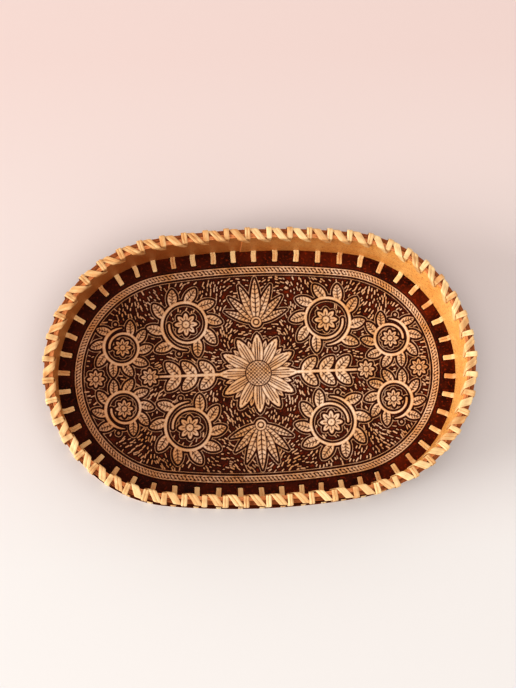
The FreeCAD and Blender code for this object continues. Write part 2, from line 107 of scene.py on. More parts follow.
# Where the stitches are: even spacing plus the slow wander of hand-set holes, as shares of the way round
rimShift = 0.0069
rimWander = ((-0.0043, -0.0015), (0.0028, -0.0014), (-0.0020, -0.0003), (-0.0004, 0.0005))
baseShift = 0.0134
baseWander = ((-0.0016, 0.0015), (-0.0038, -0.0003), (0.0002, 0.0002), (0.0005, -0.0010))
slantShare = 0.28  # of the step, taken by each leg of a slanted stitch

# The oval, read from the frame
halfLength, halfWidth = (reach - wall["innerThick"] for reach in highCorner("wall_inner_strip")[:2])
outerReach, _, rimTop = highCorner("wall_outer_strip")
floorReach, _, floorTop = highCorner("floor_face_sheet")
floorBottom = highCorner("floor_under_sheet")[2]
wallThick, floorEdge = outerReach - halfLength, floorReach - halfLength
outerStart = wall["innerThick"] + wall["stripGap"]
midWall = wallThick / 2
sideRadius = wall["sideRadius"]
endRadius = (2 * sideRadius * halfWidth - halfLength**2 - halfWidth**2) / (2 * (sideRadius - halfLength))
endCentre = halfLength - endRadius
sideCentre = sideRadius - halfWidth
jointAngle = atan2(sideCentre, endCentre)
sideSweep = pi - 2 * jointAngle
arcs = [  # centre x, centre y, radius, first angle, sweep
    (endCentre, 0.0, endRadius, 0.0, jointAngle),
    (0.0, -sideCentre, sideRadius, jointAngle, sideSweep),
    (-endCentre, 0.0, endRadius, pi - jointAngle, 2 * jointAngle),
    (0.0, sideCentre, sideRadius, pi + jointAngle, sideSweep),
    (endCentre, 0.0, endRadius, -jointAngle, jointAngle),
]
arcs = np.array(arcs)
arcStart = np.concatenate([[0.0], np.cumsum((arcs[:, 2] + midWall) * arcs[:, 4])])
girth = arcStart[-1]

nearLevel = lace["gap"] + lace["thick"] / 2
farLevel = nearLevel + lace["thick"] + lace["gap"]
halfLace = lace["width"] / 2
slotHalf = halfLace + lace["gap"]
grooveDepth = lace["thick"] + 2 * lace["gap"]
rimHoleTop = rimTop - lace["rimHoleDrop"]
rimHoleBottom = rimHoleTop - farLevel - nearLevel
baseHole = floorTop + lace["baseHoleRise"]
slotNear = -lace["slotInset"]
slotFar = slotNear - grooveDepth - lace["slotEase"]
notchStart = wallThick + lace["ledge"]
innerSeam = girth / 4 + wall["seamOffset"]
outerSeam = girth / 4 - wall["outerSeamOffset"]


def outward(run):  # which way the wall faces at a run, with its arc
    run = np.mod(run, girth)
    arc = np.clip(np.searchsorted(arcStart, run, side="right") - 1, 0, len(arcs) - 1)
    rows = arcs[arc]
    angle = rows[..., 3] + (run - arcStart[arc]) / (rows[..., 2] + midWall)
    return angle, rows


def spot(run, offset, height):  # run round the lacing line, offset from the inner face
    run, offset, height = np.broadcast_arrays(run, offset, height)
    angle, rows = outward(run)
    reach = rows[..., 2] + offset
    return np.stack([rows[..., 0] + reach * np.cos(angle), rows[..., 1] + reach * np.sin(angle), height], -1)


def offsetAt(x, y):  # out from the wall's inner face
    x, y = np.abs(x), np.abs(y)
    atSide = np.arctan2(y + sideCentre, x) > jointAngle
    return np.where(atSide, np.hypot(x, y + sideCentre) - sideRadius, np.hypot(x - endCentre, y) - endRadius)


def stitchRuns(pitch, shift, wander):
    count = round(girth / pitch)
    turn = tau * np.arange(count) / count
    share = np.arange(count) / count + shift
    for waves, (cosine, sine) in enumerate(wander, start=1):
        share = share + cosine * np.cos(waves * turn) + sine * np.sin(waves * turn)
    return share * girth


rimRuns = stitchRuns(lace["rimPitch"], rimShift, rimWander)
baseRuns = stitchRuns(lace["basePitch"], baseShift, baseWander)


def seamFace(run, reach):  # the inner face's offset; its lap stands in
    past = (innerSeam - run + girth / 2) % girth - girth / 2
    if past + reach < 0 or past - reach > wall["scarfLength"]:
        return 0.0
    return -wall["seamStep"] * (1 - max(past - reach, 0.0) / wall["scarfLength"])


def between(ends, share):
    return ends[0] + (ends[1] - ends[0]) * share


def smooth(value):
    value = np.clip(value, 0.0, 1.0)
    return value * value * (3 - 2 * value)


waveRates = ((1.0, 1.7), (2.3, 2.9), (0.41, 4.1))  # rate, and how it shifts with the seed


def wavy(value, seed):
    total = sum(np.sin(value * rate + seed * phase) for rate, phase in waveRates)
    return 0.5 + total / (2 * len(waveRates))


def addObject(name, data):
    thing = bpy.data.objects.new(name, data)
    scene.collection.objects.link(thing)
    return thing


def makePiece(names, points, faces, vectors, material, sharp):  # piece, node and slot; the slot is not used
    name, node, slot = names
    mesh = bpy.data.meshes.new(name)
    mesh.from_pydata((np.asarray(points) * mm).tolist(), [], faces)
    for label, values in vectors.items():
        layer = mesh.attributes.new(label, "FLOAT_VECTOR", "POINT")
        layer.data.foreach_set("vector", np.asarray(values, np.float32).ravel())
    mesh.validate()
    mesh.update()
    work = bmesh.new()
    work.from_mesh(mesh)
    bmesh.ops.recalc_face_normals(work, faces=work.faces)
    work.to_mesh(mesh)
    work.free()
    mesh.polygons.foreach_set("use_smooth", [True] * len(mesh.polygons))
    mesh.set_sharp_from_angle(angle=radians(sharp))
    mesh.materials.append(material)
    piece = addObject(name, mesh)
    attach(piece, "root")
    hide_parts(node)


# Shader helpers


def tone(red, green, blue):  # a colour as it looks on screen, 0 to 255, made linear
    parts = [value / 255 for value in (red, green, blue)]
    return [part / 12.92 if part < 0.04045 else ((part + 0.055) / 1.055) ** 2.4 for part in parts] + [1.0]


def feed(tree, socket, value):  # a link or a plain value
    if isinstance(value, bpy.types.NodeSocket):
        tree.links.new(value, socket)
    else:
        socket.default_value = value


def addNode(tree, kind, inputs=None, **settings):
    node = tree.nodes.new("ShaderNode" + kind)
    for key, value in settings.items():
        setattr(node, key, value)
    for key, value in (inputs or {}).items():
        feed(tree, node.inputs[key], value)
    return node


def sums(tree, operation, *values):
    return addNode(tree, "Math", dict(enumerate(values)), operation=operation).outputs[0]


def times(tree, first, second):
    return sums(tree, "MULTIPLY", first, second)


def spread(tree, value, low, high, toLow=0.0, toHigh=1.0):  # a value between two limits, as a share
    inputs = {"Value": value, "From Min": low, "From Max": high, "To Min": toLow, "To Max": toHigh}
    return addNode(tree, "MapRange", inputs).outputs[0]


def blend(tree, share, first, second):
    return addNode(tree, "Mix", {0: share, 6: first, 7: second}, data_type="RGBA").outputs[2]


def coated(tree, colour, *coats):  # a share and a colour for each coat
    for share, over in coats:
        colour = blend(tree, share, colour, over)
    return colour


def noise(tree, vector, scale, detail=3.0, roughness=0.55):
    inputs = {"Vector": vector, "Scale": scale, "Detail": detail, "Roughness": roughness}
    return addNode(tree, "TexNoise", inputs).outputs["Fac"]


def stretched(tree, vector, scales):
    return addNode(tree, "VectorMath", {0: vector, 1: scales}, operation="MULTIPLY").outputs[0]


def attribute(tree, name):
    return addNode(tree, "Attribute", attribute_name=name).outputs["Vector"]


def parted(tree, vector):
    return addNode(tree, "SeparateXYZ", {0: vector}).outputs


def joined(tree, *parts):
    return addNode(tree, "CombineXYZ", dict(enumerate(parts))).outputs[0]


def objectPlace(tree):
    return addNode(tree, "TexCoord").outputs["Object"]


def makeMaterial(look, paint, *more):  # paint gives the colour and the relief
    material = bpy.data.materials.new(look["name"])
    material.use_nodes = True
    tree = material.node_tree
    shader = tree.nodes["Principled BSDF"].inputs
    colour, height = paint(tree, look, *more)
    strength, depth = look["bump"]
    inputs = {"Strength": strength, "Distance": depth * mm, "Height": height}
    feed(tree, shader["Roughness"], look["roughness"])
    feed(tree, shader["Specular IOR Level"], look["gloss"])
    feed(tree, shader["Base Color"], colour)
    feed(tree, shader["Normal"], addNode(tree, "Bump", inputs).outputs[0])
    return material


def newGroup(name, inputs, outputs):
    group = bpy.data.node_groups.new(name, "ShaderNodeTree")
    for way, labels in (("INPUT", inputs), ("OUTPUT", outputs)):
        for label in labels:
            kind = "NodeSocketVector" if label == "Place" else "NodeSocketFloat"
            group.interface.new_socket(label, in_out=way, socket_type=kind)
    return group, group.nodes.new("NodeGroupInput").outputs, group.nodes.new("NodeGroupOutput").inputs


def useGroup(tree, group, **inputs):
    return addNode(tree, "Group", inputs, node_tree=group).outputs


bark = dict(
    cloudDetail=(6.0, 0.62),
    cloudRange=(0.32, 0.68),  # the part of the noise that is used
    fleckDetail=(2.0, 0.5),
    fleckRange=(0.56, 0.68),
    pores=(2.2, 4.0, 0.7),  # scale, detail and roughness
    layerDrift=0.09,  # how fast the layers wander along the edge
    layerBend=0.5,  # and how far, in millimetres
    layerGrain=0.35,
    layerDetail=(3.0, 0.6),
    layerRange=(0.3, 0.7),
    gapRange=(0.4, 0.33),
)

# Bark: uneven tone in clouds, small flecks and fine pores, by place in millimetres
inputs = ("Place", "Size", "FleckSize")
mottling, start, stop = newGroup("mottling", inputs, ("Clouds", "Flecks", "Pores"))
for label, size, detail, limits in (
    ("Clouds", "Size", bark["cloudDetail"], bark["cloudRange"]),
    ("Flecks", "FleckSize", bark["fleckDetail"], bark["fleckRange"]),
):
    speckle = noise(mottling, start["Place"], sums(mottling, "DIVIDE", 1.0, start[size]), *detail)
    feed(mottling, stop[label], spread(mottling, speckle, *limits))
feed(mottling, stop["Pores"], noise(mottling, start["Place"], *bark["pores"]))

# Bark seen on a cut edge: thin layers, by depth and the way along, both in millimetres
plies, start, stop = newGroup("plies", ("Depth", "Along", "Count"), ("Layers", "Gaps"))
drift = joined(plies, times(plies, start["Along"], bark["layerDrift"]))
bend = times(plies, noise(plies, drift, 1.0), bark["layerBend"])
across = times(plies, sums(plies, "ADD", start["Depth"], bend), start["Count"])
grain = joined(plies, times(plies, start["Along"], bark["layerGrain"]), across)
layered = noise(plies, grain, 1.0, *bark["layerDetail"])
feed(plies, stop["Layers"], spread(plies, layered, *bark["layerRange"]))
feed(plies, stop["Gaps"], spread(plies, layered, *bark["gapRange"]))


def mottled(tree, place, look):
    place = stretched(tree, place, look["stretch"])
    return useGroup(tree, mottling, Place=place, Size=look["cloudSize"], FleckSize=look["fleckSize"])


print("groups made")

# Split root

root = dict(
    name="splitRoot",
    light=tone(253, 233, 190),
    middle=tone(240, 204, 148),
    tan=tone(210, 156, 102),
    deep=tone(198, 126, 64),
    pith=tone(140, 74, 28),
    roughness=0.55, gloss=0.35,
    bump=(0.55, 0.22),
    fibres=(0.16, 3.4, 9.0),  # along, across and from stitch to stitch
    streaks=(0.05, 1.1, 5.0),
    patches=(0.11, 0.3, 4.0),
    streakMost=0.75,
    crackMost=0.55,
)


def paintRoot(tree, look):
    place = attribute(tree, "fibre")
    fibres = noise(tree, stretched(tree, place, look["fibres"]), 1.0, 4.0, 0.6)
    streaks = noise(tree, stretched(tree, place, look["streaks"]), 1.0, 2.0)
    patches = noise(tree, stretched(tree, place, look["patches"]), 1.0, 2.0)
    colour = coated(
        tree,
        look["middle"],
        (spread(tree, fibres, 0.3, 0.7), look["light"]),
        (spread(tree, streaks, 0.62, 0.78, 0.0, look["streakMost"]), look["deep"]),
        (times(tree, parted(tree, place)["Z"], spread(tree, patches, 0.35, 0.65, 0.4, 0.95)), look["tan"]),
        (spread(tree, fibres, 0.36, 0.28, 0.0, look["crackMost"]), look["pith"]),
    )
    return colour, fibres


splitRoot = makeMaterial(root, paintRoot)

# A lace is a list of rows, each one cross-section: run, offset, height, facing (cosine, sine), half width,
# groove depth and stitch number.


def row(run, offset, height, facing, width, groove, stitch):
    return [run, offset, height, cos(facing), sin(facing), width, groove, stitch]


def bendRows(corner, radius, turns, runs, *look):
    rows = []
    for share in np.linspace(0.0, 1.0, lace["bendRows"]):
        turn = radians(between(turns, share))
        offset, height = corner[0] + radius * cos(turn), corner[1] + radius * sin(turn)
        rows.append(row(between(runs, share), offset, height, turn, *look))
    return rows


def overRows(runs, face, levels, *look):
    rows = []
    start, length = lace["crossing"]
    for share in np.linspace(*lace["overSpan"], lace["straightRows"]):
        height = rimTop + between(levels, smooth((share - start) / length))
        rows.append(row(between(runs, share), between((face, wallThick), share), height, pi / 2, *look))
    return rows


def stitchRows(runs, faces, levels, widths, *look):  # from a hole over the rim to a hole outside
    hole, foot, innerTop, outerTop, outerFoot, nextHole = runs
    return (
        bendRows((faces[0], rimHoleTop), levels[0], (-90, -180), (hole, hole), widths[0], *look)
        + bendRows((faces[1], rimTop), levels[0], (180, 90), (foot, innerTop), widths[1], *look)
        + overRows((innerTop, outerTop), faces[1], levels, widths[1], *look)
        + bendRows((wallThick, rimTop), levels[1], (90, 0), (outerTop, outerFoot), widths[1], *look)
        + bendRows((wallThick, rimHoleTop), levels[1], (0, -90), (nextHole, nextHole), widths[0], *look)
    )


def straightRows(run, slip, width, *look):
    face = seamFace(run, halfLace)
    top = [run + slip] * 4
    return stitchRows((run, *top, run), (face, face), (nearLevel, farLevel), (width, width), *look)


def slantedRows(run, nextRun, slip, width, *look):
    step = nextRun - run
    holeFace = seamFace(run, halfLace)
    face = seamFace(run + step * slantShare, lace["width"])
    firstTurn = farLevel * pi / 2
    lastTurn = nearLevel * pi / 2
    over = firstTurn + wallThick - face + lastTurn
    wide = width * lace["slantWider"] / cos(atan(step / (2 * lace["rimHoleDrop"] + over)))
    ways = np.array([0.0, firstTurn, over - lastTurn, over])
    top = run + slip + step * (slantShare + (1 - 2 * slantShare) * ways / over)
    return stitchRows((run, *top, nextRun), (holeFace, face), (farLevel, nearLevel), (width, wide), *look)


def baseRows(run, nextRun, stitch, dice):
    slip, *look = (*stitchLook(dice), stitch)
    face = seamFace(run, halfLace)
    here, there = (run, run), (nextRun, nextRun)
    lying = floorTop + nearLevel
    slope = atan2(baseHole - floorTop - nearLevel, lace["tabFall"])
    brink = face - lace["tabStep"]
    up = pi / 2
    tab = [
        row(run, face, baseHole, up, *look),
        row(run, brink, baseHole, up + slope / 2, *look),
        row(run + slip, brink - lace["tabFall"], lying, up + slope / 2, *look),
        row(run + slip, brink - lace["tabFall"] * lace["tabSettle"], lying, up, *look),
    ]
    under = []
    for share in np.linspace(*lace["underSpan"], lace["straightRows"]):
        offset = between((slotNear, notchStart), share)
        under.append(row(between((run, nextRun), share), offset, nearLevel, -up, *look))
    return (
        tab
        + bendRows((slotNear, floorTop), nearLevel, (90, 180), here, *look)
        + bendRows((slotNear, grooveDepth), nearLevel, (180, 270), here, *look)
        + under
        + bendRows((notchStart, grooveDepth), nearLevel, (270, 360), there, *look)
        + bendRows((wallThick, baseHole - nearLevel), nearLevel, (360, 450), there, *look)
    )


# Half of a split root: crowned outside, nearly flat inside. Across and out, as shares of half the section.
crown = [(-0.97, 0.05), (-0.82, 0.62), (-0.5, 0.9), (-0.15, 1.0), (0.0, 1.0)]
flat = [(0.86, -0.85), (0.4, -1.0), (-0.4, -1.0), (-0.86, -0.85)]
profile = np.array(crown + [(-across, out) for across, out in crown[-2::-1]] + flat)
groovePoint = len(crown) - 1


def refine(rows):  # more rows wherever two are further apart than the step
    rows = np.array(rows)
    places = spot(*rows[:, :3].T)
    fine = [rows[:1]]
    for before, after, gap in zip(rows, rows[1:], np.linalg.norm(np.diff(places, axis=0), axis=1)):
        parts = max(1, ceil(gap / lace["rowStep"]))
        shares = (np.arange(parts) + 1)[:, None] / parts
        fine.append(before + (after - before) * shares)
    rows = np.concatenate(fine)
    length = np.hypot(rows[:, 3], rows[:, 4])[:, None]
    rows[:, 3:5] /= np.maximum(length, 1e-6)
    return rows


def makeLace(names, rows, seed, warmth):
    rows = refine(rows)
    middles = spot(*rows[:, :3].T)
    along = np.concatenate([[0.0], np.cumsum(np.linalg.norm(np.diff(middles, axis=0), axis=1))])
    leftEdge, rightEdge, rise = (
        (1 - share * wavy(along / wave, seed + phase))[:, None] for share, wave, phase in lace["uneven"]
    )
    across = np.tile(profile[:, 0], (len(rows), 1))
    across = np.where(across > 0, across * leftEdge, across * rightEdge)
    out = np.tile(profile[:, 1], (len(rows), 1))
    out[:, groovePoint] -= 2 * rows[:, 6]
    out = out * rise
    reach = lace["thick"] / 2
    runs = rows[:, :1] + across * rows[:, 5:6]
    offsets = rows[:, 1:2] + out * reach * rows[:, 3:4]
    heights = rows[:, 2:3] + out * reach * rows[:, 4:5]
    points = spot(runs, offsets, heights).reshape(-1, 3)
    count, ring = out.shape
    faces = [
        (i * ring + j, i * ring + (j + 1) % ring, (i + 1) * ring + (j + 1) % ring, (i + 1) * ring + j)
        for i in range(count - 1)
        for j in range(ring)
    ]
    faces += [tuple(range(ring)), tuple(range((count - 1) * ring, count * ring))]
    shade = warmth + (1 - warmth) * np.mod(rows[:, 7] * lace["toneScatter"], 1.0)
    grainAlong = np.repeat(along + seed * lace["fibreShift"], ring)
    grainAcross = (profile[:, 0] * rows[:, 5:6]).ravel()
    fibre = np.stack([grainAlong, grainAcross, np.repeat(shade, ring)], -1)
    makePiece((*names, "split_root"), points, faces, {"fibre": fibre}, splitRoot, lace["sharp"])


def stitchLook(dice):  # slip, half width and groove
    slip = dice.uniform(-1, 1) * lace["sideSlip"]
    width = halfLace * dice.uniform(lace["thinnest"], 1.0)
    return slip, width, dice.choice(lace["grooves"])


def rimRows(run, nextRun, stitch, dice):
    straight = straightRows(run, *stitchLook(dice), 2 * stitch)
    return straight + slantedRows(run, nextRun, *stitchLook(dice), 2 * stitch + 1)


def makeLaces(kind, runs, rowsOf, ends, firstSeed):  # each starts and stops between the wall strips
    steps = list(zip(runs, np.append(runs[1:], runs[0] + girth)))
    warmths = lace[kind + "Warmth"]
    for number, warmth in enumerate(warmths):
        first, last = (round(len(steps) * count / len(warmths)) for count in (number, number + 1))
        rows = [row(steps[first][0], midWall - lace["gap"] / 2, *ends, halfLace, 0.0, 0)]
        for stitch, (run, nextRun) in enumerate(steps[first:last]):
            rows += rowsOf(run, nextRun, stitch, laceDice)
        rows.append(row(steps[last - 1][1], midWall + lace["gap"] / 2, *ends, halfLace, 0.0, 0))
        names = (f"{kind}Lace{number + 1}", f"{kind}_lace_{number + 1}")
        makeLace(names, rows, firstSeed + number, warmth)


laceDice = np.random.default_rng(lace["dice"])
makeLaces("rim", rimRuns, rimRows, (rimHoleTop - nearLevel, -pi / 2), 1)
makeLaces("base", baseRuns, baseRows, (baseHole, pi / 2), 1 + len(lace["rimWarmth"]))
print("laces made")

# Wall strips

strip = dict(  # the same for both strips
    stretch=(0.7, 1.0, 1.0),
    cloudSize=14.0, fleckSize=1.5,
    fleckMost=0.5,
    freckles=(0.8, 3.0, 0.75),  # scale, detail and roughness
    freckleRange=(0.5, 0.7),
    deepEnd=0.42,  # of the darkening, as a share of the way round: painted shade on the lining, a deeper tone on the tanned strip
    startEnd=0.09,  # it is weaker up to here
    startShare=0.55,
    lateStart=0.84,
    endLine=(0.9, 0.6),  # the pale lapped end, back from its tip
    edgeLine=(0.35, 0.15),  # where its look starts, below the lowest layer
    bump=(0.4, 0.2),
)
lining = dict(
    strip,
    name="liningBark",
    light=tone(255, 210, 138),
    middle=tone(248, 186, 106),
    fleck=tone(176, 80, 24),
    deep=tone(144, 58, 2),
    edgeLight=tone(242, 174, 114),
    edgeDark=tone(194, 114, 62),
    edgeGap=tone(104, 44, 16),
    roughness=0.46, gloss=0.5,
    deepShare=0.93,  # how much darker it is towards its start, painted shade on the walls that face away from the light
    lateShare=0.45,  # and towards its lapped end, painted shade on the far wall
    freckleShare=0.7,
    layerCount=4.2,  # on the cut edge, to a millimetre
    seed=2,
)
tanned = dict(
    strip,
    name="tannedBark",
    light=tone(104, 52, 24),
    middle=tone(64, 27, 12),
    fleck=tone(28, 11, 5),
    deep=tone(28, 11, 5),
    edgeLight=tone(192, 124, 82),
    edgeDark=tone(112, 60, 34),
    edgeGap=tone(40, 16, 8),
    roughness=0.6, gloss=0.0,
    # a deeper tone towards its start
    deepShare=0.2,
    lateShare=0.0,
    freckleShare=0.5,
    layerCount=5.0,
    seed=7,
)


def paintStrip(tree, look, seam):
    place = attribute(tree, "place")
    run, offset, height = parted(tree, place)
    lap = seam + girth
    mottle = mottled(tree, place, look)
    # painted shade on the lining from its seam round the left end, on the walls that face away from the
    # light, and on the far wall towards its lapped end; on the tanned strip a deeper tone
    shadeAndDeep = spread(tree, run, seam, seam + girth * look["deepEnd"], look["deepShare"], 0.0)
    first = spread(tree, run, seam, seam + girth * look["startEnd"], look["startShare"], 1.0)
    lapShade = spread(tree, run, seam + girth * look["lateStart"], lap, 0.0, look["lateShare"])
    freckles = noise(tree, place, *look["freckles"])
    face = coated(
        tree,
        look["middle"],
        (mottle["Clouds"], look["light"]),
        (sums(tree, "MAXIMUM", times(tree, shadeAndDeep, first), lapShade), look["deep"]),
        (times(tree, mottle["Flecks"], look["fleckMost"]), look["fleck"]),
        (spread(tree, freckles, *look["freckleRange"], 0.0, look["freckleShare"]), look["fleck"]),
        (spread(tree, run, *(lap - back for back in look["endLine"])), look["edgeLight"]),
    )
    layers = useGroup(tree, plies, Depth=offset, Along=run, Count=look["layerCount"])
    edge = coated(
        tree, look["edgeDark"], (layers["Layers"], look["edgeLight"]), (layers["Gaps"], look["edgeGap"])
    )
    onTop = spread(tree, height, *(rimTop - wall["layerDrop"] - down for down in look["edgeLine"]))
    pores = times(tree, mottle["Pores"], sums(tree, "SUBTRACT", 1.0, onTop))
    relief = sums(tree, "ADD", times(tree, layers["Layers"], onTop), pores)
    return blend(tree, onTop, face, edge), relief


def holeList(start, stop):  # ends and heights of the holes in between
    found = []
    for runs, bottom, top in (
        (rimRuns, rimHoleBottom, rimHoleTop),
        (baseRuns, baseHole - nearLevel, baseHole + nearLevel),
    ):
        for run in np.add.outer(runs, (-girth, 0.0, girth)).ravel():
            if start < run - slotHalf and run + slotHalf < stop:
                found.append((run - slotHalf, run + slotHalf, bottom, top))
    return found


def stripColumns(start, stop, holes):  # evenly, and at the sides of each hole
    edges = sorted({edge for hole in holes for edge in hole[:2]})
    even = np.arange(start, stop, wall["columnStep"])
    clear = [run for run in even if np.min(np.abs(np.array(edges) - run)) > wall["columnClear"]]
    return np.array(sorted(clear + edges + [stop]))


def layerDrops(runs, across, seed):  # how short each layer ends, as a share
    layer = np.floor(across / wall["layerThick"])
    wave = wall["layerWave"] + wall["layerSpare"] * np.mod(layer * 0.37, 1.0)
    return smooth(wavy(runs / wave + layer * 2.1, seed + 3) * 2.4 - 0.9)


def stripSections(runs, levels, faceOffsets, seed):  # offset and height of each point
    low, high = (face[:, None] for face in faceOffsets(runs))
    swell = np.sin(np.linspace(0.0, pi, len(levels)))
    dip = wall["hollow"] * wavy(runs / wall["hollowWave"], seed)[:, None] * swell
    dip = np.minimum(dip, wall["hollowMost"] * (high - low))
    share = np.linspace(0.0, 1.0, wall["edgePoints"])
    across = low + (high - low) * share
    roundOff = wall["edgeRound"] * np.clip(2 * np.abs(2 * share - 1) - 1, 0, 1)
    topHeight = rimTop - wall["layerDrop"] * layerDrops(runs[:, None], across, seed) - roundOff
    faceHeight = np.tile(levels, (len(runs), 1))
    offsets = np.concatenate([low + dip, across, (high - dip * wall["outerHollow"])[:, ::-1]], 1)
    return offsets, np.concatenate([faceHeight, topHeight, faceHeight[:, ::-1]], 1)


def holeWalls(hole, runs, levels, ring):  # with the squares that the hole takes away
    first, last = (int(np.searchsorted(runs, side)) for side in hole[:2])
    below, above = (int(np.argmin(np.abs(levels - height))) for height in hole[2:])
    rim = [(column, below) for column in range(first, last)]
    rim += [(last, level) for level in range(below, above)]
    rim += [(column, above) for column in range(last, first, -1)]
    rim += [(first, level) for level in range(above, below, -1)]
    walls = []
    for (columnA, levelA), (columnB, levelB) in zip(rim, rim[1:] + rim[:1]):
        a, b = columnA * ring, columnB * ring
        walls.append((a + levelA, b + levelB, b + ring - 1 - levelB, a + ring - 1 - levelA))
    squares = {(column, level) for column in range(first, last) for level in range(below, above)}
    return walls, squares | {(column, ring - 2 - level) for column, level in squares}


def makeStrip(names, seam, faceOffsets, look):
    start, stop = seam - wall["scarfLength"], seam + girth
    holes = holeList(start, stop)
    runs = stripColumns(start, stop, holes)
    heights = {height for hole in holes for height in hole[2:]} | {*wall["levels"]}
    levels = np.array(sorted([floorTop, *heights, rimTop - wall["layerDrop"] - wall["edgeFoot"]]))
    offsets, heights = stripSections(runs, levels, faceOffsets, look["seed"])
    ring = offsets.shape[1]
    points = spot(runs[:, None], offsets, heights).reshape(-1, 3)
    place = np.stack(np.broadcast_arrays(runs[:, None], offsets, heights), -1).reshape(-1, 3)
    faces = []
    gone = set()
    for hole in holes:
        walls, squares = holeWalls(hole, runs, levels, ring)
        faces += walls
        gone |= squares
    for column in range(len(runs) - 1):
        for level in range(ring):
            if (column, level) not in gone:
                a, b = column * ring + level, column * ring + (level + 1) % ring
                faces.append((a, b, b + ring, a + ring))
    last = len(levels) - 1
    for first in (0, (len(runs) - 1) * ring):
        for level in range(last):
            a, b = first + level, first + ring - 1 - level
            faces.append((a, a + 1, b - 1, b))
        faces.append(tuple(range(first + last, first + last + wall["edgePoints"] + 2)))
    makePiece(names, points, faces, {"place": place}, makeMaterial(look, paintStrip, seam), wall["sharp"])


def scarf(run, seam):  # shares of the way to either end
    return [(seam + lap - run) / wall["scarfLength"] for lap in (girth, 0.0)]


def innerFaces(run):
    end, start = scarf(run, innerSeam)
    thick, half = wall["innerThick"], wall["scarfGap"] / 2
    low = np.where(start > 0, thick * start + half, 0.0)
    low = np.where(end < 1, -wall["seamStep"] * (1 - end), low)
    return np.minimum(low, thick - half), np.where(end < 1, thick * end - half, thick)


def outerFaces(run):
    end, start = scarf(run, outerSeam)
    thick, half = wallThick - outerStart, wall["scarfGap"] / 2
    low = np.where(end < 1, wallThick - thick * end + half, outerStart)
    high = np.where(start > 0, wallThick - thick * start - half, wallThick)
    return np.minimum(low, wallThick - half), np.maximum(high, outerStart + half)


makeStrip(("innerStrip", "wall_inner_strip", "lining_bark"), innerSeam, innerFaces, lining)
makeStrip(("outerStrip", "wall_outer_strip", "tanned_bark"), outerSeam, outerFaces, tanned)
print("wall made")

# Floor: the pressed sheet, whose high places are at the frame's height

floor = dict(
    cell=0.5, margin=1.0,
    edgeSoftness=0.5,  # across the slope from ground to high places
    farOutside=-3.0,  # the field where nothing is drawn
    swell=(0.05, 0.21, 0.27),  # depth of the uneven ground, rates along and across
    snapShare=0.71,  # of a cell: points this near an edge are pulled to it
    spinePoints=12,
    veinHalf=0.27, netHalf=0.19, netStep=1.7,
    echoGap=1.5,  # from a form to the thin line round it
    echoHalf=0.27,
    railWidth=0.75, cordStep=2.55,
    cordTurn=((-1.5, -0.86), (-0.6, -0.35), (0.6, 0.35), (1.5, 0.86)),  # along, and out as a share
    cordHalves=(0.1, 0.62, 0.62, 0.1),
    seedTries=12000,
    seedArea=(118, 70),
    seedGap=1.0,
    seedClear=0.95,
    seedReach=(0.3, 1.3),
    seedHalf=(0.36, 0.55),
    dice=5,
    sharp=75,
)
plan = dict(  # as in the frame's floor; places are shares of half its size
    reliefDepth=0.6, reliefInset=9.8,
    borderInset=10.5, borderWidth=4.6,
    rosetteRadius=26.0, rosetteHeart=8.2, rosettePetals=12,
    petalHalf=3.6, backHalf=2.2, backReach=0.86,
    flowerPetals=8, stemHalf=1.1,
    scroll=(0.355, 0.415, 17.0, 11.0),  # place, radius and leaf length
    endScroll=(0.677, 0.245, 13.0, 9.5),
    scrollClose=0.35, scrollFlower=0.42, scrollTurns=1.25, scrollLeaves=9, leafLean=0.75,
    leafWidth=0.27,  # half of it, as a share of the length
    leafBelly=0.868,  # puts its widest place below the middle
    fanPlace=0.415, fanLength=29.0, fanHeart=3.5,
    fanSides=3, fanSpread=0.4, fanShorter=0.085, fanWidth=0.1,
    sprigLeaves=(0.225, 0.315, 0.395),
    sprigLength=12.5, sprigLean=0.8,
    sprigFlower=0.545, endFlower=0.815,
)
cell = floor["cell"]
gridX, gridY = (
    np.arange(-half - floorEdge - floor["margin"], half + floorEdge + floor["margin"], cell)
    for half in (halfLength, halfWidth)
)
pointX, pointY = np.meshgrid(gridX, gridY, indexing="ij")
pointOffset = offsetAt(pointX, pointY)
field = np.full(pointX.shape, floor["farOutside"])  # millimetres inside the nearest high place


def window(points, margin):
    low, high = np.min(points, 0) - margin, np.max(points, 0) + margin
    firstX, firstY = np.searchsorted(gridX, low[0]), np.searchsorted(gridY, low[1])
    return np.s_[firstX : np.searchsorted(gridX, high[0]), firstY : np.searchsorted(gridY, high[1])]


def draw(points, halves, carve=False):  # a line of given half widths, raised or cut
    points = np.asarray(points, float)
    halves = np.broadcast_to(halves, (len(points),))
    area = window(points, float(np.max(halves)) - floor["farOutside"])
    x, y = pointX[area], pointY[area]
    best = np.full(x.shape, -1e3)
    for start, stop, startHalf, stopHalf in zip(points, points[1:], halves, halves[1:]):
        way = stop - start
        share = np.clip(((x - start[0]) * way[0] + (y - start[1]) * way[1]) / max(way @ way, 1e-9), 0, 1)
        gap = np.hypot(x - start[0] - share * way[0], y - start[1] - share * way[1])
        best = np.maximum(best, startHalf + (stopHalf - startHalf) * share - gap)
    if carve:
        field[area] = np.minimum(field[area], -best)
    else:
        field[area] = np.maximum(field[area], best)


def dot(centre, half, carve=False):
    draw([centre, np.asarray(centre, float) + 1e-3], half, carve)


def rings(centre, *halves):  # cut and raised in turn
    for number, half in enumerate(halves):
        dot(centre, half, number % 2 == 0)


def turned(points, angle, origin=(0.0, 0.0)):
    points = np.asarray(points, float)
    cosine, sine = cos(angle), sin(angle)
    return points @ np.array([[cosine, sine], [-sine, cosine]]) + origin


def leafSpine(length, curl=0.0):  # and how full the leaf is along it
    share = np.linspace(0.0, 1.0, floor["spinePoints"])
    spine = np.stack([share * length, curl * length * share**2], -1)
    return spine, np.sin(np.pi * np.maximum(share, 0.02) ** plan["leafBelly"])


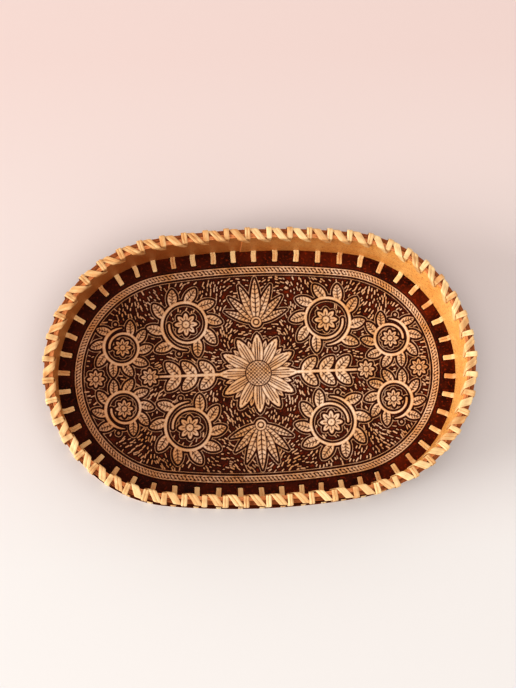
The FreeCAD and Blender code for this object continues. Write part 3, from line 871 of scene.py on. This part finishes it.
def drawLeaf(origin, angle, length, width, curl=0.0, veins=4):
    spine, swell = leafSpine(length, curl)
    draw(turned(spine, angle, origin), width * swell**0.85 + 0.12)
    draw(turned(spine[1:-1], angle, origin), floor["veinHalf"], True)
    for number in range(1, veins + 1):
        at = number / (veins + 1.4)
        start = np.array([at * length, curl * length * at**2])
        reach = width * 0.74 * sin(pi * at ** plan["leafBelly"])
        for side in (-1, 1):
            vein = [start, start + (0.6 * reach, side * reach)]
            draw(turned(vein, angle, origin), floor["veinHalf"] * 0.85, True)


def petalSpine(heart, radius):
    share = np.linspace(0.0, 1.0, floor["spinePoints"])
    spine = np.stack([heart / 2 + share * (radius - heart / 2), 0 * share], -1)
    return spine, np.sin(np.pi * np.maximum(share, 0.02) ** 0.9) ** 0.7


def drawPetal(angle, heart, radius, width):
    spine, swell = petalSpine(heart, radius)
    draw(turned(spine, angle), width * swell + 0.1)
    for side, stop in ((-0.5, 0.68), (0.0, 0.84), (0.5, 0.68)):
        line = [(heart + 0.6, side * width * 0.7), (heart + (radius - heart) * stop, side * width * 0.95)]
        draw(turned(line, angle), floor["veinHalf"] * 0.9, True)


def drawRosette():
    radius, heart, step = plan["rosetteRadius"], plan["rosetteHeart"], floor["netStep"]
    angles = [tau * number / plan["rosettePetals"] for number in range(plan["rosettePetals"])]
    for angle in angles:  # small petals behind the large ones
        behind = angle + pi / plan["rosettePetals"]
        drawPetal(behind, heart, radius * plan["backReach"], plan["backHalf"])
    spine, swell = petalSpine(heart, radius)
    for angle in angles:
        draw(turned(spine, angle), (plan["petalHalf"] + 0.6) * swell, True)  # a dark line round the petal
        drawPetal(angle, heart, radius, plan["petalHalf"])
    rings((0.0, 0.0), heart + 0.5, heart - 0.15)
    count = int(heart / step) + 1
    for column in range(-count, count + 1):  # the netted heart
        reach = sqrt(max((heart - 0.7) ** 2 - (column * step) ** 2, 0.0))
        if reach > 0.6:
            for turn in (pi / 4, -pi / 4):
                draw(turned([(-reach, column * step), (reach, column * step)], turn), floor["netHalf"], True)


def drawFlower(centre, radius, startAngle):
    heart, petals = radius * 0.36, plan["flowerPetals"]
    share = np.linspace(0.0, 1.0, 7)
    spine = np.stack([heart + share * (radius - heart - 0.2), 0 * share], -1)
    halves = pi * (heart + radius) / 2 / petals * 0.84 * np.sin(np.pi * (0.15 + 0.75 * share)) ** 0.8
    for number in range(petals):
        angle = startAngle + tau * number / petals
        draw(turned(spine, angle, centre), halves)
        draw(turned([(heart, 0), (radius * 0.72, 0)], angle, centre), floor["veinHalf"] * 0.9, True)
    rings(centre, heart + 0.3, heart - 0.3, 0.35)


def stemPoint(centre, radius, startAngle, hand, share):
    angle = startAngle + hand * tau * plan["scrollTurns"] * share
    reach = radius * (1 - plan["scrollClose"] * share)
    return angle, centre + reach * np.array([cos(angle), sin(angle)])


def drawScroll(centre, radius, leafLength, startAngle, hand):
    leaves = plan["scrollLeaves"]

    def beside(number, reach):  # a place along the stem
        return stemPoint(centre, reach, startAngle, hand, number / (leaves + 1) / plan["scrollTurns"])

    for number in range(leaves):
        angle, place = beside(number + 1, radius)
        lean = angle + hand * plan["leafLean"]
        drawLeaf(place, lean, leafLength, leafLength * plan["leafWidth"], -hand * 0.1)
    path = [stemPoint(centre, radius, startAngle, hand, share)[1] for share in np.linspace(0.0, 1.0, 54)]
    halves = np.linspace(plan["stemHalf"], 0.75, len(path))
    halves[:6] *= np.linspace(0.3, 1.0, 6)
    draw(path, halves)
    for number in range(leaves):  # a berry beside each leaf
        place = beside(number + 0.42, radius + 3.3)[1]
        dot(place, 0.95)
        dot(place, 0.28, True)
    drawFlower(centre, radius * plan["scrollFlower"], startAngle)


def drawFan(along):
    foot = np.array([0.0, along * plan["fanPlace"] * halfWidth])
    sides = plan["fanSides"]
    for number in sorted(range(-sides, sides + 1), key=abs, reverse=True):
        length = plan["fanLength"] * (1 - plan["fanShorter"] * abs(number))
        angle = along * pi / 2 + number * plan["fanSpread"]
        width = length * plan["fanWidth"]
        spine, swell = leafSpine(length)
        draw(turned(spine, angle, foot), width * swell + 0.75, True)  # a dark line round each leaf
        drawLeaf(foot, angle, length, width, veins=8)
    rings(foot, plan["fanHeart"] + 0.5, plan["fanHeart"], 2.2, 1.5)


def drawSprig(across):
    flower = plan["endScroll"][2] * plan["scrollFlower"]
    length = plan["sprigLength"]
    start, stop = across * plan["rosetteRadius"], across * plan["sprigFlower"] * halfLength
    for share in plan["sprigLeaves"]:
        for lean in (-plan["sprigLean"], plan["sprigLean"]):
            facing = (0.0 if across > 0 else pi) + lean
            drawLeaf((across * share * halfLength, 0.0), facing, length, length * plan["leafWidth"])
    draw([(start, 0.0), (stop, 0.0)], (plan["stemHalf"], 0.7))
    for place in (stop, across * plan["endFlower"] * halfLength):
        dot((place, 0.0), flower + 0.6, True)
        drawFlower((place, 0.0), flower, 0.0)


def drawBorder():
    outer = -plan["borderInset"]
    inner = outer - plan["borderWidth"]
    middle, reach = (outer + inner) / 2, plan["borderWidth"] / 2 - floor["railWidth"]
    field[:] = np.maximum(field, np.minimum(outer - pointOffset, pointOffset - inner))
    field[:] = np.where(np.abs(pointOffset - middle) < reach, np.abs(pointOffset - middle) - reach, field)
    count = round(girth / floor["cordStep"])
    for number in range(count):
        run = girth * number / count
        turns = [spot(run + along, middle + out * reach, 0.0)[:2] for along, out in floor["cordTurn"]]
        draw(turns, floor["cordHalves"])


def drawSeeds(dice):  # in the ground that is left
    reachX, reachY = floor["seedArea"]
    inside = -plan["borderInset"] - plan["borderWidth"] - floor["seedGap"]
    for _ in range(floor["seedTries"]):
        x, y = dice.uniform(-reachX, reachX), dice.uniform(-reachY, reachY)
        drawn = field[np.searchsorted(gridX, x), np.searchsorted(gridY, y)] > -floor["seedClear"]
        if offsetAt(x, y) > inside or drawn:
            continue
        angle = atan2(y, x) * 2 + 0.6 * sin(x * 0.17) + dice.uniform(-0.3, 0.3)
        way = np.array([cos(angle), sin(angle)]) * dice.uniform(*floor["seedReach"])
        draw([(x, y) - way, (x, y) + way], dice.uniform(*floor["seedHalf"]))


def drawDesign():
    drawBorder()
    for along in (-1, 1):
        drawFan(along)
    drawRosette()
    for across in (-1, 1):
        drawSprig(across)
        for along in (-1, 1):
            towards = -across * along * pi / 2 + (pi if across < 0 else 0.0)
            for (shareX, shareY, *sizes), start, hand in (
                (plan["scroll"], towards, across * along),
                (plan["endScroll"], along * pi / 2, -across * along),
            ):
                centre = (across * shareX * halfLength, along * shareY * halfWidth)
                drawScroll(centre, *sizes, start, hand)
    inside = pointOffset < -plan["borderInset"] - plan["borderWidth"] / 2
    echo = floor["echoHalf"] - np.abs(-field - floor["echoGap"])
    field[inside] = np.maximum(field, echo)[inside]
    drawSeeds(np.random.default_rng(floor["dice"]))


drawDesign()
print("design drawn")


def cutSlots():  # for the tabs, and notches at the edge
    gone = pointOffset > floorEdge + 1e-6
    snap = floor["snapShare"] * cell
    planX, planY = pointX.copy(), pointY.copy()
    near = np.abs(pointOffset - floorEdge) < snap
    angle = np.arctan2(planY, planX)
    for _ in range(3):  # pulled to the outline
        away = offsetAt(planX, planY) - floorEdge
        planX[near] -= (away * np.cos(angle))[near]
        planY[near] -= (away * np.sin(angle))[near]
    gone &= ~near
    for run in baseRuns:
        facing = float(outward(run)[0])
        cosine, sine = cos(facing), sin(facing)
        for first, last in ((slotFar, slotNear), (notchStart, floorEdge + 4)):
            middle = spot(run, (first + last) / 2, 0.0)
            area = window([middle[:2]], 5.0)
            x, y = planX[area] - middle[0], planY[area] - middle[1]
            out, side = x * cosine + y * sine, y * cosine - x * sine
            halfOut = (last - first) / 2
            touching = (np.abs(out) < halfOut + snap) & (np.abs(side) < slotHalf + snap)
            onOut = touching & (np.abs(np.abs(out) - halfOut) < snap)
            onSide = touching & (np.abs(np.abs(side) - slotHalf) < snap)
            out = np.where(onOut, np.sign(out) * halfOut, out)
            side = np.where(onSide, np.sign(side) * slotHalf, side)
            planX[area] = middle[0] + out * cosine - side * sine
            planY[area] = middle[1] + out * sine + side * cosine
            gone[area] |= (np.abs(out) < halfOut - 1e-6) & (np.abs(side) < slotHalf - 1e-6)
    return planX, planY, gone


def topHeights():
    raised = smooth(field / floor["edgeSoftness"] + 0.5)
    unpressed = smooth((pointOffset + plan["reliefInset"]) / floor["edgeSoftness"] + 0.5)  # by the wall
    depth, along, across = floor["swell"]
    swell = depth * np.sin(pointX * along) * np.sin(pointY * across + 1.0) - depth
    return floorTop + plan["reliefDepth"] * (np.maximum(raised, unpressed) - 1) + swell * (1 - unpressed)


def openEdges(quads):  # the edges that only one face has
    ways = np.concatenate([quads[:, [side, (side + 1) % 4]] for side in range(4)])
    _, where, counts = np.unique(np.sort(ways, 1), axis=0, return_index=True, return_counts=True)
    return ways[where[counts == 1]]


def filled(points, edges, firstNumber):  # faces that close the underside
    work = bmesh.new()
    verts = [work.verts.new(point) for point in points]
    edges = [work.edges.new((verts[a], verts[b])) for a, b in edges]
    bmesh.ops.triangle_fill(work, edges=edges, use_beauty=False, normal=(0, 0, -1))
    work.verts.index_update()
    faces = [tuple(firstNumber + vert.index for vert in face.verts) for face in work.faces]
    work.free()
    return faces


def makeFloor():
    planX, planY, gone = cutSlots()
    keep = ~(gone[:-1, :-1] | gone[1:, :-1] | gone[:-1, 1:] | gone[1:, 1:])
    numbers = np.arange(pointX.size).reshape(pointX.shape)
    quads = np.stack([numbers[:-1, :-1], numbers[1:, :-1], numbers[1:, 1:], numbers[:-1, 1:]], -1)[keep]
    used, quads = np.unique(quads, return_inverse=True)
    quads = quads.reshape(-1, 4)
    points = np.stack([planX, planY, topHeights()], -1).reshape(-1, 3)[used]
    drawn = np.stack([field, pointOffset, pointX], -1).reshape(-1, 3)[used]
    edgePoints, brink = np.unique(openEdges(quads), return_inverse=True)
    brink = brink.reshape(-1, 2)
    lower = points[edgePoints].copy()
    lower[:, 2] = floorBottom
    below = brink + len(points)
    sides = np.stack([*edgePoints[brink[:, ::-1]].T, *below.T], -1)
    faces = quads.tolist() + sides.tolist() + filled(lower, brink, len(points))
    unmarked = drawn[edgePoints] * (0.0, 1.0, 1.0) + (floor["farOutside"], 0.0, 0.0)
    vectors = {"design": np.concatenate([drawn, unmarked])}
    points = np.concatenate([points, lower])
    material = makeMaterial(pressed, paintPressed)
    names = ("pressedFloor", "floor_face_sheet", "embossed_bark")
    makePiece(names, points, faces, vectors, material, floor["sharp"])


pressed = dict(
    name="pressedBark",
    high=tone(250, 235, 214),
    highDeep=tone(222, 178, 124),
    brink=tone(182, 120, 74),  # where the high places turn down, and painted shade on them towards the left end
    ground=tone(112, 44, 9),
    groundRed=tone(150, 60, 12),
    groundDark=tone(44, 12, 1),
    leftShare=0.45,  # painted shade towards the left end, where the left wall shades the floor from the low light
    leftSpan=(-0.8 * halfLength, 0.3 * halfLength),
    stretch=(1 / mm, 1 / mm, 1 / mm),
    cloudSize=16.0, fleckSize=1.7,
    wobble=0.22,  # of the two tones' border, in millimetres
    roughness=0.5, gloss=0.12,
    bump=(0.35, 0.25),
)


def paintPressed(tree, look):
    inward, _, along = parted(tree, attribute(tree, "design"))
    mottle = mottled(tree, objectPlace(tree), look)
    wobble = spread(tree, mottle["Pores"], 0.2, 0.8, -look["wobble"], look["wobble"])
    raised = spread(tree, sums(tree, "ADD", inward, wobble), -0.16, 0.2)
    # painted shade: ground and high places darken towards the left end, which the left wall shades from the
    # light
    leftShade = spread(tree, along, *look["leftSpan"], look["leftShare"], 0.0)
    ground = coated(
        tree,
        look["groundDark"],
        (mottle["Clouds"], look["ground"]),
        (times(tree, mottle["Flecks"], 0.7), look["groundRed"]),
        (spread(tree, inward, -1.1, -0.4, 0.0, 0.8), look["groundDark"]),
        (leftShade, look["groundDark"]),
    )
    high = coated(
        tree,
        look["highDeep"],
        (mottle["Clouds"], look["high"]),
        (times(tree, mottle["Flecks"], 0.5), look["highDeep"]),
        (leftShade, look["brink"]),
        (spread(tree, inward, 0.9, 0.1, 0.0, 0.4), look["brink"]),
    )
    return blend(tree, raised, ground, high), mottle["Pores"]


makeFloor()
print("floor made")

# The backing sheet keeps its frame shape

backing = dict(
    name="plainBark",
    light=tone(206, 158, 108),
    dark=tone(150, 98, 58),
    fleck=tone(104, 60, 34),
    stretch=(0.25 / mm, 1 / mm, 1 / mm),
    cloudSize=12.0, fleckSize=2.2,
    fleckMost=0.6,
    roughness=0.6, gloss=0.3,
    bump=(0.4, 0.3),
)


def paintBacking(tree, look):
    mottle = mottled(tree, objectPlace(tree), look)
    flecks = times(tree, mottle["Flecks"], look["fleckMost"])
    coats = (mottle["Clouds"], look["light"]), (flecks, look["fleck"])
    return coated(tree, look["dark"], *coats), mottle["Pores"]


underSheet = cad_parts["floor_under_sheet"]
underSheet.data.materials.clear()
underSheet.data.materials.append(makeMaterial(backing, paintBacking))

# Stage, light and camera

studio = dict(
    name="paper",
    tableHalf=9.0,
    tableTone=tone(223, 224, 225),
    farTone=tone(221, 206, 204),
    toneSpan=(-0.12, 0.22),  # painted shade, darker and pinker towards the far side: from near to far, in metres
    grain=60.0,
    roughness=0.7, gloss=0.2,
    bump=(0.05, 0.5),
    keyPower=130.0, keySize=2.4, keyPlace=(-4.15, -0.5, 1.3),
    keyTone=tone(252, 249, 244)[:3],
    fillPower=31.0, fillSize=3.0, fillPlace=(0.0, -0.6, 3.0),
    fillTone=tone(255, 246, 240)[:3],
    skyTone=tone(255, 246, 240),
    skyPower=0.46,
)


def paintTable(tree, look):
    place = objectPlace(tree)
    # painted shade: the table turns darker and pinker away from the camera
    away = spread(tree, parted(tree, place)["Y"], *look["toneSpan"])
    return blend(tree, away, look["tableTone"], look["farTone"]), noise(tree, place, look["grain"])


def makeTable():
    half = studio["tableHalf"]
    corners = [(-half, -half, 0), (half, -half, 0), (half, half, 0), (-half, half, 0)]
    mesh = bpy.data.meshes.new("table")
    mesh.from_pydata(corners, [], [(0, 1, 2, 3)])
    mesh.materials.append(makeMaterial(studio, paintTable))
    addObject("table", mesh)


def makeLight(name):
    light = addObject(name, bpy.data.lights.new(name, "AREA"))
    light.data.shape = "DISK"
    light.data.size = studio[name + "Size"]
    light.data.energy = studio[name + "Power"]
    light.data.color = studio[name + "Tone"]
    light.location = studio[name + "Place"]
    light.rotation_euler = (-Vector(studio[name + "Place"])).to_track_quat("-Z", "Y").to_euler()


makeTable()
makeLight("key")
makeLight("fill")
world = bpy.data.worlds.new("room")
world.use_nodes = True
sky = world.node_tree.nodes["Background"].inputs
sky["Color"].default_value = studio["skyTone"]
sky["Strength"].default_value = studio["skyPower"]
scene.world = world
scene.view_settings.view_transform = "Standard"
scene.view_settings.look = "High Contrast"

view = dict(
    imageWidth=516,
    centrePixel=(258, 344),
    plumbPixel=(184, 555.6),  # where lines that run straight down meet
    focalPixels=1340,
    sensor=36.0,
    spin=-0.045,
    place=(-0.0529, -0.1156, 0.8701),
)
sideways, down = (plumb - centre for plumb, centre in zip(view["plumbPixel"], view["centrePixel"]))
plumb = Vector((sideways, down, view["focalPixels"])).normalized()  # straight down, as the camera sees it
level = (Vector((1, 0, 0)) - plumb * plumb.x).normalized()
depth = (-plumb).cross(level)
alongX = level * cos(view["spin"]) - depth * sin(view["spin"])
alongY = (-plumb).cross(alongX)
turn = Matrix((alongX, alongY, -plumb)).transposed()  # box to camera
camera = addObject("camera", bpy.data.cameras.new("camera"))
camera.data.sensor_fit = "HORIZONTAL"
camera.data.sensor_width = view["sensor"]
camera.data.lens = view["focalPixels"] / view["imageWidth"] * view["sensor"]
facing = Matrix((turn[0], -turn[1], -turn[2])).transposed().to_4x4()
camera.matrix_world = Matrix.Translation(view["place"]) @ facing
scene.camera = camera
print("stage made")

bpy.context.view_layer.update()
